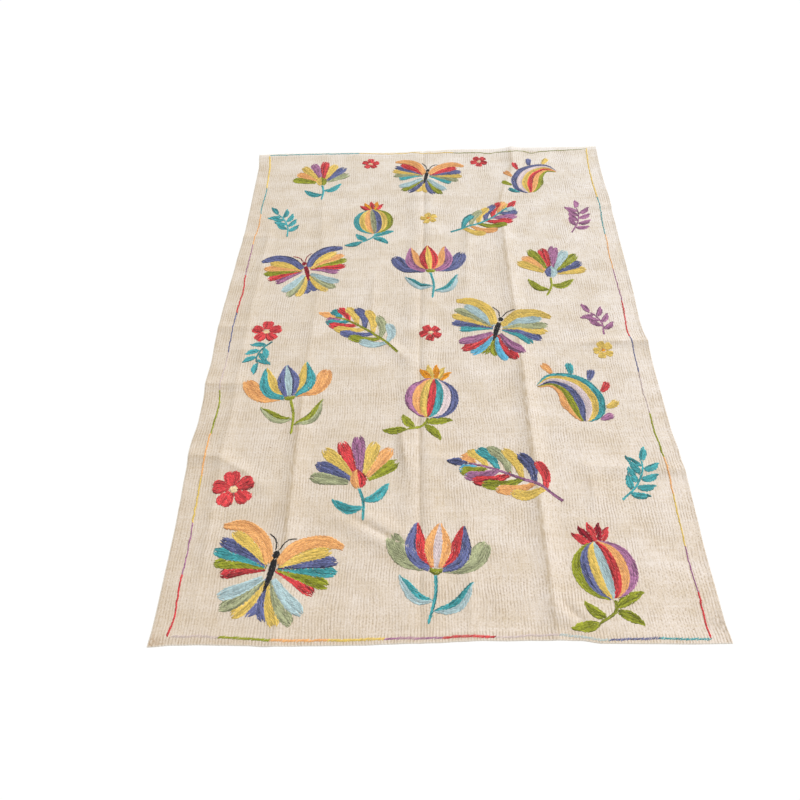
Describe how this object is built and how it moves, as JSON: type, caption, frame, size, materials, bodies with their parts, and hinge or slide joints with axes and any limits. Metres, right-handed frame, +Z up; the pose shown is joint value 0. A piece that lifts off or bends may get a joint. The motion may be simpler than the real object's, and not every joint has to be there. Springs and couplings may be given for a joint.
{
  "type": "flat-woven area rug",
  "caption": "Flat-woven cotton floor rug, opened out flat, with soft fold creases, slightly wavy hems, a stitched border line and embroidered motifs.",
  "frame": {"origin": "middle of the underside, on the floor", "axes": "+Z up from the floor; +Y along the rug's length, towards the end that is far from the viewer in the picture; +X across its width, to the right there"},
  "size_m": [1.21, 1.822, 0.011],
  "materials": {
    "cotton": "undyed cream cotton, ribbed flat weave, matt",
    "yarn_teal": "teal embroidery yarn, soft sheen",
    "yarn_olive": "olive green embroidery yarn, soft sheen",
    "yarn_sage": "sage green embroidery yarn, soft sheen",
    "yarn_blue": "dusty blue embroidery yarn, soft sheen",
    "yarn_purple": "purple embroidery yarn, soft sheen",
    "yarn_red": "red embroidery yarn, soft sheen",
    "yarn_orange": "light orange embroidery yarn, soft sheen",
    "yarn_yellow": "yellow embroidery yarn, soft sheen",
    "yarn_pale_blue": "pale blue embroidery yarn, soft sheen",
    "yarn_pale_pink": "pale pink embroidery yarn, soft sheen",
    "yarn_sky": "sky blue embroidery yarn, soft sheen",
    "yarn_amber": "amber embroidery yarn, soft sheen",
    "yarn_deep_red": "deep red embroidery yarn, soft sheen",
    "yarn_black": "black embroidery yarn, soft sheen",
    "yarn_cream": "cream embroidery yarn, soft sheen"
  },
  "bodies": {
    "root": {"rug": "cotton"}
  },
  "joints": []
}
